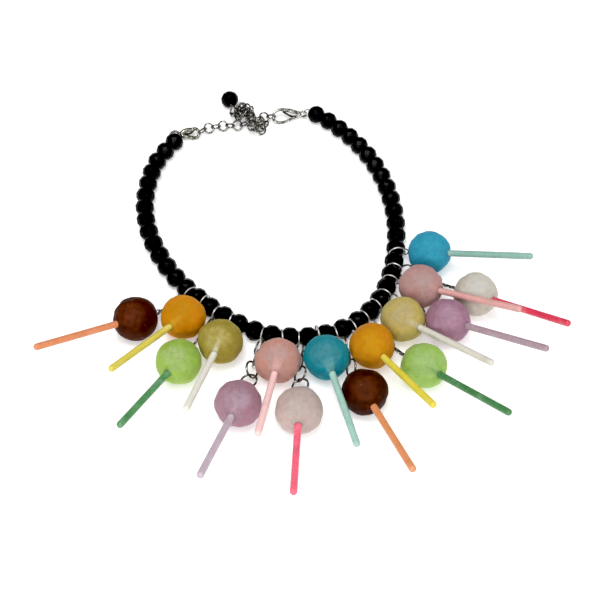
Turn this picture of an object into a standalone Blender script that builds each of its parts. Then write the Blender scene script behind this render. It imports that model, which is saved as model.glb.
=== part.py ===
"""A costume necklace: lollipop charms of coloured resin hung from a string of black faceted beads.

It lies on a table as if just put down, with the charms fanned out round the front half of the string.
+X is towards the large clasp's side, +Y runs from the charms to the clasps, +Z is up, and the unit is
the metre.
"""

import math

import bmesh
import bpy
from mathutils import Matrix, Vector

MM = 0.001
GAP = 0.3 * MM
MERGE = 0.003 * MM
SHARP_ANGLE = 40.0
UPRIGHT = 90.0

# The middle of the outline, measured in the plan that the lists below use.
PLAN_MIDDLE = Vector((1.46, 29.87))

# String of beads. A shoulder is given as its shares of the half length and of the radius.
BEADS = 44
BEAD_RADIUS = 4.2 * MM
BEAD_HALF_LENGTH = 3.35 * MM
BEAD_SHOULDER = (0.64, 0.76)
BEAD_SIDES = 8
STRING_RADIUS = 0.5 * MM
STRING_HEIGHT = BEAD_RADIUS * math.cos(math.pi / BEAD_SIDES)
STRING_RUNS = (5, 5, 6, 6, 6, 6, 5, 5)
STRING_END = 1.2 * MM

# Where the string lies, from the small clasp round to the large one, in mm on the plan.
STRING_ROUTE = (
    (-59.0, 109.5), (-65.8, 97.0), (-68.8, 82.5), (-69.0, 68.0), (-66.0, 53.5), (-60.0, 39.5),
    (-51.8, 26.8), (-41.8, 16.2), (-30.6, 6.8), (-17.4, -0.6), (-3.0, -3.6), (11.2, -1.8),
    (23.8, 4.8), (33.2, 16.0), (38.6, 30.0), (41.2, 44.0), (42.0, 58.5), (40.6, 73.0),
    (37.2, 87.0), (31.6, 100.4), (23.8, 112.6), (13.8, 123.6), (7.8, 128.4),
)

# Lollipops. The stick's tip is rounded by two points, each as its shares of the stick's radius back
# from the end and out from the axis.
BALL_RADIUS = 9.0 * MM
BALL_SIDES = 12
BALL_BANDS = 6
FLAT_DEPTH = 0.25 * MM
BALL_HEIGHT = BALL_RADIUS - FLAT_DEPTH
STICK_RADIUS = 1.35 * MM
STICK_REACH = 44.8 * MM
STICK_TIP = ((0.8, 1.0), (0.2, 0.6))
STICK_SIDES = 8
SOCKET_DEPTH = 5.0 * MM
SOCKET_RADIUS = 1.75 * MM
EYE_RADIUS = 1.0 * MM
EYE_WIRE = 0.35 * MM
PIN_RADIUS = 0.3 * MM
EYE_BORE = 0.75 * MM
EYE_BORE_DEPTH = 2.5 * MM
EYE_SIDES = 6
SHANK_SIDES = 5
EYE_ROLLS = (42.0, 104.0)
EYE_MIDDLE = -(BALL_RADIUS + GAP + EYE_WIRE + EYE_RADIUS)

# Jump rings, all of one wire. A joint is where two of them bear on each other.
RING_RADIUS = 3.15 * MM
RING_LEAST = 2.95 * MM
RING_MOST = 3.5 * MM
RING_WIRE = 0.42 * MM
WIRE_SIDES = 3
RING_SIDES = 8
BITE = 0.3 * MM
GROOVE = 2.2 * MM
SAG = 0.5 * MM

# Colour, the gap between beads that its ring hangs in, where the ball lies on the plan in mm,
# which way the stick points and how far it rises, in degrees, how far its chain bows, in mm,
# and how far each ring of the chain leans over from lying flat, in degrees.
LOLLIPOPS = (
    ("brown", 14, -66.1, 2.2, -143.5, 20, -0.2, (92, 58)),
    ("orange", 15, -47.0, 3.1, -123.8, 18.5, 0.0, ()),
    ("green", 16, -47.4, -18.6, -114, 20, 0.0, (60, 75, 65)),
    ("olive", 17, -31.5, -9.2, -103.5, 19.5, 0.0, ()),
    ("mauve", 19, -23.4, -37.9, -105.5, 22, -0.2, (60, 75, -55, 15)),
    ("pink", 20, -8.5, -18.1, -99, 18.5, 0.0, ()),
    ("white", 21, -0.4, -40.9, -92.5, 19, 0.2, (65, 70, 50, 20)),
    ("blue", 22, 10.4, -16.7, -76.5, 8, 0.0, ()),
    ("brown", 23, 24.6, -32.6, -69.5, 15.5, 0.6, (60, 80, 65)),
    ("orange", 24, 28.2, -11.2, -61, 19, 0.0, ()),
    ("green", 25, 48.0, -20.6, -49, 21, -1.2, (75, 75, 70, -65)),
    ("olive", 26, 41.3, 1.9, -43.5, 15.5, 0.0, ()),
    ("mauve", 27, 59.3, 1.2, -36, 20, -1.6, (80, 75, 70)),
    ("pink", 28, 49.8, 18.8, -32, 18, 0.0, ()),
    ("white", 29, 71.7, 14.6, -41.5, 22, 0.0, (60, 75, 35, -55)),
    ("blue", 30, 54.6, 37.1, -21.5, 20.5, 0.0, ()),
)
BALL_COLOURS = {
    "brown": "4c1804",
    "orange": "c48214",
    "green": "9bbc61",
    "olive": "ac9c55",
    "mauve": "a88393",
    "pink": "ba918a",
    "white": "c7b7ae",
    "blue": "318ea3",
}
STICK_COLOURS = {
    "brown": "e79567",
    "orange": "dccc50",
    "green": "518b56",
    "olive": "ddd9ca",
    "mauve": "bda6b0",
    "pink": "f0bbb7",
    "white": "f1596f",
    "blue": "9cc5b7",
}

# Extender chain of small round links, from the small clasp to the large one, with a loose tail.
LINK_RADIUS = 2.05 * MM
LINK_WIRE = 0.4 * MM
LINK_SIDES = 7
LINK_ROLLS = (-52.0, 38.0)
CHAIN_RUN = (
    (-49.1, 117.3, 2.4), (-43.7, 120.6, 2.5), (-36.4, 121.9, 2.5), (-29.6, 122.2, 2.5),
    (-23.5, 124.6, 2.6), (-18.2, 127.4, 2.8), (-12.2, 128.2, 2.8),
)
CHAIN_TAIL = (
    (-18.2, 127.4, 2.8), (-16.6, 122.0, 2.5), (-19.6, 118.0, 2.5), (-23.0, 119.0, 3.4),
    (-24.6, 123.4, 6.2), (-24.2, 130.0, 2.8), (-26.4, 134.6, 2.5), (-30.0, 133.8, 2.5),
    (-29.6, 129.2, 2.6), (-26.0, 127.4, 5.6), (-28.6, 125.4, 5.4), (-32.0, 128.2, 2.8),
    (-32.4, 132.4, 3.0),
)

# The bead at the end of the tail, on its pin.
DROP_PLACE = (-34.2, 139.0)
DROP_HEADING = Vector((-0.2, 1.0, 0.0))
DROP_PIN = 0.6 * MM

# Lobster clasps: tail end and hook end of the hoop, its roll in degrees, its width and its wire.
# The hoop narrows towards its tail by a share of its width, and its lever runs between two points
# given as shares of its length and width.
SMALL_CLASP = ((-55.6, 115.6, 2.6), (-48.0, 117.4, 2.4), 38.0, 6.0, 0.7)
LARGE_CLASP = ((0.7, 131.1, 3.0), (-13.15, 128.0, 2.8), -38.0, 7.8, 0.65)
HOOP_TAPER = 0.3
LEVER_START = (-0.45, 0.0)
LEVER_END = (-0.1, -0.34)
LEVER_RADIUS = 0.45 * MM
CLASP_STEPS = 12
CLASP_SIDES = 5
TAIL_RING_RADIUS = 1.0 * MM


def clear_scene():
    for found in list(bpy.data.objects):
        bpy.data.objects.remove(found, do_unlink=True)


def on_plan(x, y, height):
    """A place given in mm on the plan, as a point in metres."""
    return Vector(((x - PLAN_MIDDLE.x) * MM, (y - PLAN_MIDDLE.y) * MM, height))


def linear(code):
    """Linear colour from a six-digit sRGB code."""
    parts = [int(code[i : i + 2], 16) / 255 for i in (0, 2, 4)]
    return [p / 12.92 if p < 0.04045 else ((p + 0.055) / 1.055) ** 2.4 for p in parts]


def make_material(name, code, roughness, metallic=0.0):
    made = bpy.data.materials.new(name)
    made.use_nodes = True
    shader = made.node_tree.nodes["Principled BSDF"]
    shader.inputs["Base Color"].default_value = (*linear(code), 1.0)
    shader.inputs["Roughness"].default_value = roughness
    shader.inputs["Metallic"].default_value = metallic
    return made


def add_object(name, shape, material, placed=None):
    """An object from a bmesh, under the necklace's empty."""
    bmesh.ops.recalc_face_normals(shape, faces=shape.faces)
    mesh = bpy.data.meshes.new(name)
    shape.to_mesh(mesh)
    shape.free()
    mesh.shade_smooth()
    mesh.set_sharp_from_angle(angle=math.radians(SHARP_ANGLE))
    mesh.materials.append(material)
    made = bpy.data.objects.new(name, mesh)
    bpy.context.scene.collection.objects.link(made)
    made.parent = bpy.data.objects["necklace"]
    if placed is not None:
        made.matrix_world = placed
    return made


def turned(profile, sides):
    """A closed body turned about the X axis from (along, radius) points that start and end on it."""
    shape = bmesh.new()
    points = [shape.verts.new((along, 0.0, radius)) for along, radius in profile]
    edges = [shape.edges.new(pair) for pair in zip(points, points[1:])]
    bmesh.ops.spin(
        shape,
        geom=points + edges,
        axis=(1, 0, 0),
        cent=(0, 0, 0),
        angle=math.tau,
        steps=sides,
        use_merge=True,
    )
    bmesh.ops.remove_doubles(shape, verts=shape.verts, dist=MERGE)
    return shape


def ring(radius, wire, sides):
    """A closed wire ring in the XY plane. A corner of the wire faces the middle, where rings bear."""
    shape = bmesh.new()
    turns = [math.pi + math.tau * i / WIRE_SIDES for i in range(WIRE_SIDES)]
    points = [
        shape.verts.new((radius + wire * math.cos(a), 0.0, wire * math.sin(a)))
        for a in turns
    ]
    edges = [shape.edges.new((points[i - 1], points[i])) for i in range(WIRE_SIDES)]
    bmesh.ops.spin(
        shape,
        geom=points + edges,
        axis=(0, 0, 1),
        cent=(0, 0, 0),
        angle=math.tau,
        steps=sides,
        use_merge=True,
    )
    bmesh.ops.remove_doubles(shape, verts=shape.verts, dist=MERGE)
    return shape


def frame_along(direction, middle, roll):
    """A frame with X along a direction, and its XY plane rolled from level by an angle in degrees."""
    ahead = direction.normalized()
    side = Vector((0, 0, 1)).cross(ahead).normalized()
    above = ahead.cross(side)
    turn = math.radians(roll)
    across = side * math.cos(turn) + above * math.sin(turn)
    facing = ahead.cross(across)
    columns = Matrix((ahead, across, facing)).transposed()
    return Matrix.Translation(middle) @ columns.to_4x4()


def fuse(name, pieces, material):
    """One closed body from pieces that bite into each other."""
    first, *others = pieces
    group = bpy.data.collections.new(name)
    bpy.context.scene.collection.children.link(group)
    for piece in others:
        group.objects.link(piece)
    union = first.modifiers.new("union", "BOOLEAN")
    union.operand_type = "COLLECTION"
    union.collection = group
    union.operation = "UNION"
    bpy.context.view_layer.update()
    graph = bpy.context.evaluated_depsgraph_get()
    shape = bmesh.new()
    shape.from_mesh(first.evaluated_get(graph).to_mesh())
    bmesh.ops.transform(shape, matrix=first.matrix_world, verts=shape.verts)
    for piece in pieces:
        bpy.data.objects.remove(piece, do_unlink=True)
    bpy.data.collections.remove(group)
    return add_object(name, shape, material)


def smooth_route(points, steps=24):
    """Close points along a smooth curve through the given ones."""
    ends = (2 * points[0] - points[1], 2 * points[-1] - points[-2])
    line = [ends[0], *points, ends[1]]
    made = []
    for a, b, c, d in zip(line, line[1:], line[2:], line[3:]):
        for i in range(steps):
            t = i / steps
            made.append(
                b
                + (c - a) * (t / 2)
                + (2 * a - 5 * b + 4 * c - d) * (t * t / 2)
                + (3 * b - a - 3 * c + d) * (t**3 / 2)
            )
    return [*made, line[-2]]


class Route:
    """A smooth curve measured by its own length."""

    def __init__(self, points):
        self.points = smooth_route(points)
        self.reached = [0.0]
        for a, b in zip(self.points, self.points[1:]):
            self.reached.append(self.reached[-1] + (b - a).length)
        self.length = self.reached[-1]

    def at(self, along):
        """The point at a distance along the curve. It runs on straight past either end."""
        last = len(self.points) - 2
        i = next((k for k in range(last) if self.reached[k + 1] > along), last)
        share = (along - self.reached[i]) / (self.reached[i + 1] - self.reached[i])
        return self.points[i] + (self.points[i + 1] - self.points[i]) * share

    def direction(self, along, step=0.5 * MM):
        return (self.at(along + step) - self.at(along - step)).normalized()


def bead_profile(middle):
    """(along, radius) of one faceted bead, from shoulder to shoulder."""
    out = BEAD_SHOULDER[0] * BEAD_HALF_LENGTH
    radius = BEAD_SHOULDER[1] * BEAD_RADIUS
    return [(middle - out, radius), (middle, BEAD_RADIUS), (middle + out, radius)]


def make_string(route, pitch, material):
    """The beads on their string, in runs that each stay nearly straight."""
    first = 0
    for number, count in enumerate(STRING_RUNS, 1):
        start = (first - 0.5) * pitch
        end = start + count * pitch
        profile = [(start + GAP / 2 if first else start - STRING_END, STRING_RADIUS)]
        for bead in range(first, first + count):
            profile += [*bead_profile(bead * pitch), ((bead + 0.5) * pitch, STRING_RADIUS)]
        last = number == len(STRING_RUNS)
        profile[-1] = (end + STRING_END if last else end - GAP / 2, STRING_RADIUS)
        shape = bmesh.new()
        rings = []
        turns = [math.tau * (i + 0.5) / BEAD_SIDES for i in range(BEAD_SIDES)]
        for along, radius in profile:
            placed = frame_along(route.direction(along), route.at(along), 0.0)
            places = [Vector((0, radius * math.cos(a), radius * math.sin(a))) for a in turns]
            rings.append([shape.verts.new(placed @ place) for place in places])
        for here, there in zip(rings, rings[1:]):
            for i in range(BEAD_SIDES):
                shape.faces.new((here[i - 1], here[i], there[i], there[i - 1]))
        shape.faces.new(rings[0])
        shape.faces.new(rings[-1])
        add_object(f"bead_string_{number}", shape, material)
        first += count


def make_ball(name, placed, material):
    """A resin ball with the stick's socket at +X, the eye pin's bore at -X and a flat below."""
    profile = [
        (BALL_RADIUS - SOCKET_DEPTH, 0.0),
        (BALL_RADIUS - SOCKET_DEPTH, SOCKET_RADIUS),
    ]
    first = math.asin(SOCKET_RADIUS / BALL_RADIUS)
    last = math.pi - math.asin(EYE_BORE / BALL_RADIUS)
    for i in range(BALL_BANDS + 1):
        turn = first + (last - first) * i / BALL_BANDS
        profile.append((BALL_RADIUS * math.cos(turn), BALL_RADIUS * math.sin(turn)))
    bottom = EYE_BORE_DEPTH - BALL_RADIUS
    profile += [(bottom, EYE_BORE), (bottom, 0.0)]
    shape = turned(profile, BALL_SIDES)
    inverse = placed.inverted()
    cut = bmesh.ops.bisect_plane(
        shape,
        geom=[*shape.verts, *shape.edges, *shape.faces],
        plane_co=inverse @ Vector((placed.translation.x, placed.translation.y, 0.0)),
        plane_no=inverse.to_3x3() @ Vector((0, 0, -1)),
        clear_outer=True,
    )
    rim = [part for part in cut["geom_cut"] if isinstance(part, bmesh.types.BMEdge)]
    bmesh.ops.contextual_create(shape, geom=rim)
    return add_object(name, shape, material, placed)


def make_stick(name, placed, material):
    inner = BALL_RADIUS - SOCKET_DEPTH + GAP
    tip = [(STICK_REACH - back * STICK_RADIUS, out * STICK_RADIUS) for back, out in STICK_TIP]
    profile = [(inner, 0.0), (inner, STICK_RADIUS), *tip, (STICK_REACH, 0.0)]
    return add_object(name, turned(profile, STICK_SIDES), material, placed)


def place_rings(joints, rolls, radius, wire, sides, material):
    """A ring from each joint to the next, each rolled by its own angle."""
    made = []
    for start, end, roll in zip(joints, joints[1:], rolls):
        placed = frame_along(end - start, (start + end) / 2, roll)
        made.append(add_object("ring", ring(radius, wire, sides), material, placed))
    return made


def hang(string, outwards, ball, bow):
    """Where a hanger's ring lies round the string, its radius, and the joints from it to the eye pin."""
    axis = (ball.to_3x3() @ Vector((1, 0, 0))).normalized()
    joint = ball.translation + axis * (EYE_MIDDLE - EYE_RADIUS + EYE_WIRE - BITE / 2)
    reach = joint - string
    rings = round((reach.length + GROOVE - 2 * RING_RADIUS) / (2 * (RING_RADIUS - RING_WIRE) + BITE))
    radius = reach.length + GROOVE + RING_WIRE - BITE / 2 + rings * (2 * RING_WIRE - BITE)
    radius = min(max(radius / (2 + 2 * rings), RING_LEAST), RING_MOST)
    first_length = 2 * radius - RING_WIRE + BITE / 2
    length = first_length + rings * (2 * (radius - RING_WIRE) + BITE)
    ahead = reach.dot(outwards)
    inner = string - outwards * (math.sqrt(ahead**2 - reach.length**2 + length**2) - ahead)
    leading = (joint - inner).normalized()
    if rings:
        leading = (leading + outwards).normalized()
    first = inner + leading * first_length
    side = Vector((0, 0, 1)).cross(joint - first).normalized()
    joints = []
    for i in range(rings + 1):
        share = i / max(rings, 1)
        bend = 4 * share * (1 - share)
        joints.append(first.lerp(joint, share) + bend * (side * bow + Vector((0, 0, -SAG))))
    return frame_along(leading, inner + leading * radius, UPRIGHT), radius, joints


def make_hanger(name, string, outwards, ball, bow, rolls, material):
    """The ring round the string, the rings that follow it and the eye pin, as one body."""
    placed, radius, joints = hang(string, outwards, ball, bow)
    pieces = [add_object("ring", ring(radius, RING_WIRE, RING_SIDES), material, placed)]
    pieces += place_rings(joints, rolls, radius, RING_WIRE, RING_SIDES, material)
    axis = (ball.to_3x3() @ Vector((1, 0, 0))).normalized()
    roll = EYE_ROLLS[1 if rolls else 0]
    eye_frame = frame_along(axis, ball.translation + axis * EYE_MIDDLE, roll)
    pieces.append(add_object("eye", ring(EYE_RADIUS, EYE_WIRE, EYE_SIDES), material, eye_frame))
    pin_end = EYE_BORE_DEPTH - BALL_RADIUS - GAP
    pin_start = EYE_MIDDLE + EYE_RADIUS
    shank = [
        (pin_start, 0.0),
        (pin_start, PIN_RADIUS),
        (pin_end, PIN_RADIUS),
        (pin_end, 0.0),
    ]
    pieces.append(add_object("shank", turned(shank, SHANK_SIDES), material, ball))
    return fuse(name, pieces, material)


def make_lollipops(route, pitch, metal):
    balls = {k: make_material(f"{k} resin", v, roughness=0.4) for k, v in BALL_COLOURS.items()}
    sticks = {k: make_material(f"{k} stick", v, roughness=0.35) for k, v in STICK_COLOURS.items()}
    for number, row in enumerate(LOLLIPOPS, 1):
        colour, gap, x, y, heading, rise, bow, rolls = row
        turn = Matrix.Rotation(math.radians(heading), 4, "Z")
        tip_up = Matrix.Rotation(math.radians(-rise), 4, "Y")
        placed = Matrix.Translation(on_plan(x, y, BALL_HEIGHT)) @ turn @ tip_up
        make_ball(f"ball_{number:02d}_{colour}", placed, balls[colour])
        make_stick(f"stick_{number:02d}_{colour}", placed, sticks[colour])
        along = (gap - 0.5) * pitch
        outwards = route.direction(along).cross(Vector((0, 0, 1)))
        string = route.at(along)
        make_hanger(f"hanger_{number:02d}", string, outwards, placed, bow * MM, rolls, metal)


def make_extender(metal):
    """Two lengths of chain that share a link."""
    pieces = []
    step = 2 * (LINK_RADIUS - LINK_WIRE) + BITE / 2
    for points in (CHAIN_RUN, CHAIN_TAIL):
        route = Route([on_plan(x, y, z * MM) for x, y, z in points])
        count = round(route.length / step)
        joints = [route.at(route.length * i / count) for i in range(count + 1)]
        rolls = [LINK_ROLLS[i % 2] for i in range(count)]
        radius = (route.length / count - BITE / 2) / 2 + LINK_WIRE
        pieces += place_rings(joints, rolls, radius, LINK_WIRE, LINK_SIDES, metal)
    return fuse("extender_chain", pieces, metal)


def make_clasp(name, tail, hook, roll, width, wire, metal):
    """A drop-shaped hoop, wide at the hook end, with a lever across it and a ring at its tail."""
    tail = on_plan(tail[0], tail[1], tail[2] * MM)
    hook = on_plan(hook[0], hook[1], hook[2] * MM)
    length = (hook - tail).length
    width *= MM
    wire *= MM
    placed = frame_along(hook - tail, (hook + tail) / 2, roll)
    shape = bmesh.new()
    rings = []
    for i in range(CLASP_STEPS):
        turn = math.tau * i / CLASP_STEPS
        middle = Vector((
            length / 2 * math.cos(turn),
            width / 2 * math.sin(turn) * (1 - HOOP_TAPER + HOOP_TAPER * math.cos(turn)),
            0.0,
        ))
        outwards = Vector((math.cos(turn) * width, math.sin(turn) * length, 0.0)).normalized()
        rings.append([])
        for k in range(CLASP_SIDES):
            round_wire = math.tau * k / CLASP_SIDES
            offset = outwards * math.cos(round_wire) + Vector((0, 0, math.sin(round_wire)))
            rings[-1].append(shape.verts.new(middle + offset * wire))
    for i in range(CLASP_STEPS):
        for k in range(CLASP_SIDES):
            here = rings[i - 1]
            there = rings[i]
            shape.faces.new((here[k - 1], here[k], there[k], there[k - 1]))
    pieces = [add_object("hoop", shape, metal, placed)]
    lever_start = Vector((LEVER_START[0] * length, LEVER_START[1] * width, 0.0))
    lever_end = Vector((LEVER_END[0] * length, LEVER_END[1] * width, 0.0))
    reach = (lever_end - lever_start).length
    lever = [(0.0, 0.0), (0.0, LEVER_RADIUS), (reach, LEVER_RADIUS), (reach, 0.0)]
    lever_frame = placed @ frame_along(lever_end - lever_start, lever_start, 0.0)
    pieces.append(add_object("lever", turned(lever, CLASP_SIDES), metal, lever_frame))
    back = BITE - length / 2 - wire - TAIL_RING_RADIUS
    tail_frame = placed @ Matrix.Translation((back, 0, 0))
    pieces.append(add_object("tail", ring(TAIL_RING_RADIUS, LINK_WIRE, LINK_SIDES), metal, tail_frame))
    return fuse(name, pieces, metal)


def make_drop(glass):
    """The bead that ends the tail of the chain, on its pin."""
    end = BEAD_HALF_LENGTH + DROP_PIN
    profile = [(-end, 0.0), (-end, STRING_RADIUS), *bead_profile(0.0), (end, STRING_RADIUS), (end, 0.0)]
    placed = frame_along(DROP_HEADING, on_plan(*DROP_PLACE, BEAD_RADIUS), 0.0)
    return add_object("drop_bead", turned(profile, BEAD_SIDES), glass, placed)


def main():
    clear_scene()
    necklace = bpy.data.objects.new("necklace", None)
    bpy.context.scene.collection.objects.link(necklace)
    glass = make_material("black glass", "0b0b0e", roughness=0.15)
    silver = make_material("bright silver", "c9c8c4", roughness=0.25, metallic=1.0)
    route = Route([on_plan(x, y, STRING_HEIGHT) for x, y in STRING_ROUTE])
    pitch = route.length / (BEADS - 1)
    make_string(route, pitch, glass)
    make_lollipops(route, pitch, silver)
    make_extender(silver)
    make_drop(glass)
    make_clasp("small_clasp", *SMALL_CLASP, silver)
    make_clasp("large_clasp", *LARGE_CLASP, silver)


main()
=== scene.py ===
"""The lollipop necklace as it looks: black faceted beads, cloudy resin lollipops, rings, chain and clasps.

It lies on a pale table, with +Y away from the viewer and +Z up. Everything is in metres, in the frame of
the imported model. The sizes below are given in millimetres and the angles in degrees.
"""

import math
import random

import bmesh
import bpy
from mathutils import Matrix, Vector, noise


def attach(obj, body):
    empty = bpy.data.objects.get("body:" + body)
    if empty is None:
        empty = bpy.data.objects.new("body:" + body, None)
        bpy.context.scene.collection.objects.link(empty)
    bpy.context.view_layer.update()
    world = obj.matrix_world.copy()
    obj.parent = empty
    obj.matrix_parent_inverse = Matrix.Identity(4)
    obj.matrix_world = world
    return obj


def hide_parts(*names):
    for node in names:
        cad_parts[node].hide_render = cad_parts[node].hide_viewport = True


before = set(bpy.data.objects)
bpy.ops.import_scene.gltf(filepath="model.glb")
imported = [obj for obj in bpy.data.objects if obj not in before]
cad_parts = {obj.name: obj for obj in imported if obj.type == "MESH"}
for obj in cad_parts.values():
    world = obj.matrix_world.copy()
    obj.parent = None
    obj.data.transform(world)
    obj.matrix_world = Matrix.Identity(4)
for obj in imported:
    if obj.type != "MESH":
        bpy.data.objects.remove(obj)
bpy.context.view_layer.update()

# The string: one length of nylon-coated steel wire, threaded through all the beads and put down in an
# easy curve. It shows only as a dark line in the valleys between beads.
MM = 0.001
PLAN_MIDDLE = Vector((1.46, 29.87))
BEADS = 44
BEAD_RADIUS = 4.2 * MM
FACET_SIDES = 8
STRING_HEIGHT = BEAD_RADIUS * math.cos(math.pi / FACET_SIDES)
STRING_RADIUS = 0.3 * MM
STEPS_PER_BEAD = 6
STRING_ROUTE = (
    (-59.0, 109.5), (-65.8, 97.0), (-68.8, 82.5), (-69.0, 68.0), (-66.0, 53.5), (-60.0, 39.5),
    (-51.8, 26.8), (-41.8, 16.2), (-30.6, 6.8), (-17.4, -0.6), (-3.0, -3.6), (11.2, -1.8),
    (23.8, 4.8), (33.2, 16.0), (38.6, 30.0), (41.2, 44.0), (42.0, 58.5), (40.6, 73.0),
    (37.2, 87.0), (31.6, 100.4), (23.8, 112.6), (13.8, 123.6), (7.8, 128.4),
)


def on_plan(x, y, height):
    """A place given in mm on the plan, as a point in metres."""
    return Vector(((x - PLAN_MIDDLE.x) * MM, (y - PLAN_MIDDLE.y) * MM, height))


def smooth_line(points, steps=24):
    """Close points along a Catmull-Rom curve through the given ones."""
    ends = (2 * points[0] - points[1], 2 * points[-1] - points[-2])
    line = [ends[0], *points, ends[1]]
    made = []
    for a, b, c, d in zip(line, line[1:], line[2:], line[3:]):
        for i in range(steps):
            t = i / steps
            made.append(
                b
                + (c - a) * (t / 2)
                + (2 * a - 5 * b + 4 * c - d) * (t * t / 2)
                + (3 * b - a - 3 * c + d) * (t**3 / 2)
            )
    return [*made, line[-2]]


class Route:
    """A smooth curve measured by its own length."""

    def __init__(self, points):
        self.points = smooth_line(points)
        self.reached = [0.0]
        for a, b in zip(self.points, self.points[1:]):
            self.reached.append(self.reached[-1] + (b - a).length)
        self.length = self.reached[-1]

    def at(self, along):
        """The point at a distance along the curve. It runs on straight past either end."""
        last = len(self.points) - 2
        i = next((k for k in range(last) if self.reached[k + 1] > along), last)
        share = (along - self.reached[i]) / (self.reached[i + 1] - self.reached[i])
        return self.points[i] + (self.points[i + 1] - self.points[i]) * share

    def direction(self, along, step=0.5 * MM):
        return (self.at(along + step) - self.at(along - step)).normalized()


def frame_along(direction, middle, roll):
    """A frame with X along a direction, and its XY plane rolled from level by an angle in degrees."""
    ahead = direction.normalized()
    side = Vector((0, 0, 1)).cross(ahead).normalized()
    above = ahead.cross(side)
    turn = math.radians(roll)
    across = side * math.cos(turn) + above * math.sin(turn)
    columns = Matrix((ahead, across, ahead.cross(across))).transposed()
    return Matrix.Translation(middle) @ columns.to_4x4()


# A wire's rounded end, from its tip back, as turns in radians from the wire's full width.
ROUNDED_END = (1.45, 1.0, 0.5)


def bend_wire(shape, points, radii, closed=False, sides=12):
    """Adds a round wire bent along points, with a radius at each. Open ends are rounded off."""
    count = len(points)
    line = list(zip(points, radii))
    ahead = []
    for i in range(count):
        before = points[i - 1] if closed or i else points[0]
        after = points[(i + 1) % count] if closed or i < count - 1 else points[-1]
        ahead.append((after - before).normalized())
    if not closed:
        caps = [(math.sin(a), math.cos(a)) for a in ROUNDED_END]
        start = [(points[0] - ahead[0] * (radii[0] * s), radii[0] * c) for s, c in caps]
        end = [(points[-1] + ahead[-1] * (radii[-1] * s), radii[-1] * c) for s, c in reversed(caps)]
        line = [*start, *line, *end]
        ahead = [ahead[0]] * len(caps) + ahead + [ahead[-1]] * len(caps)
    across = ahead[0].orthogonal().normalized()
    hoops = []
    for i, (middle, radius) in enumerate(line):
        if i:
            across = ahead[i - 1].rotation_difference(ahead[i]) @ across
        above = ahead[i].cross(across)
        turns = [math.tau * k / sides for k in range(sides)]
        spokes = [across * math.cos(a) + above * math.sin(a) for a in turns]
        hoops.append([shape.verts.new(middle + spoke * radius) for spoke in spokes])
    pairs = list(zip(hoops, hoops[1:]))
    if closed:
        pairs.append((hoops[-1], hoops[0]))
    for here, there in pairs:
        for k in range(sides):
            shape.faces.new((here[k - 1], here[k], there[k], there[k - 1]))
    if not closed:
        shape.faces.new(hoops[0])
        shape.faces.new(hoops[-1])


def make_piece(name, shape, material, smooth_angle=40.0):
    """A piece of the necklace from a bmesh."""
    bmesh.ops.recalc_face_normals(shape, faces=shape.faces)
    mesh = bpy.data.meshes.new(name)
    shape.to_mesh(mesh)
    shape.free()
    mesh.shade_smooth()
    mesh.set_sharp_from_angle(angle=math.radians(smooth_angle))
    mesh.materials.append(material)
    made = bpy.data.objects.new(name, mesh)
    bpy.context.scene.collection.objects.link(made)
    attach(made, "root")
    return made


def linear(code):
    """Linear colour from a six-digit sRGB code."""
    parts = [int(code[i : i + 2], 16) / 255 for i in (0, 2, 4)]
    return (*[p / 12.92 if p < 0.04045 else ((p + 0.055) / 1.055) ** 2.4 for p in parts], 1.0)


def add_node(tree, kind, inputs=(), **settings):
    """A shader node. Each input, by name or number, is given a value or a socket to read."""
    node = tree.nodes.new(kind)
    for name, value in settings.items():
        setattr(node, name, value)
    for name, value in dict(inputs).items():
        if isinstance(value, bpy.types.NodeSocket):
            tree.links.new(value, node.inputs[name])
        else:
            node.inputs[name].default_value = value
    return node


def new_material(name, roughness, metallic=0.0):
    """A material with its tree and its one shader."""
    made = bpy.data.materials.new(name)
    made.use_nodes = True
    shader = made.node_tree.nodes["Principled BSDF"]
    shader.inputs["Roughness"].default_value = roughness
    shader.inputs["Metallic"].default_value = metallic
    return made, made.node_tree, shader


def mix_colour(tree, factor, first, second, blend="MIX"):
    """The colour of a Mix node between two colours."""
    mixed = add_node(
        tree, "ShaderNodeMix", {0: factor, 6: first, 7: second}, data_type="RGBA", blend_type=blend
    )
    return mixed.outputs[2]


def map_value(tree, value, low, high, to_low=0.0, to_high=1.0):
    """A value stretched from one range to another and held inside it."""
    inputs = {0: value, 1: low, 2: high, 3: to_low, 4: to_high}
    return add_node(tree, "ShaderNodeMapRange", inputs).outputs[0]


nylon, tree, shader = new_material("coated_wire", roughness=0.35)
where = add_node(tree, "ShaderNodeTexCoord").outputs["Object"]
braid = add_node(tree, "ShaderNodeTexNoise", {"Vector": where, "Scale": 2500.0}).outputs[0]
tree.links.new(mix_colour(tree, braid, linear("0c0c0d"), linear("26262a")), shader.inputs["Base Color"])

string = Route([on_plan(x, y, STRING_HEIGHT) for x, y in STRING_ROUTE])
pitch = string.length / (BEADS - 1)
threaded = bmesh.new()
string_steps = STEPS_PER_BEAD * BEADS
stops = [string.length * i / string_steps for i in range(string_steps + 1)]
bend_wire(threaded, [string.at(s) for s in stops], [STRING_RADIUS] * len(stops), sides=10)
make_piece("string_wire", threaded, nylon)

# The beads: forty-four fire-polished rounds of opaque black glass, each ground with rows of flats and
# then softened in the fire, so that no two are quite alike. They are threaded through a bored hole.
BEAD_END = 3.58 * MM
BELT_SPREAD = 1.04
LEAN_SPREAD = 1.5
GRIND_SPREAD = (0.985, 1.005)
END_FACING = 0.99
BEAD_SEED = 7

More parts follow.
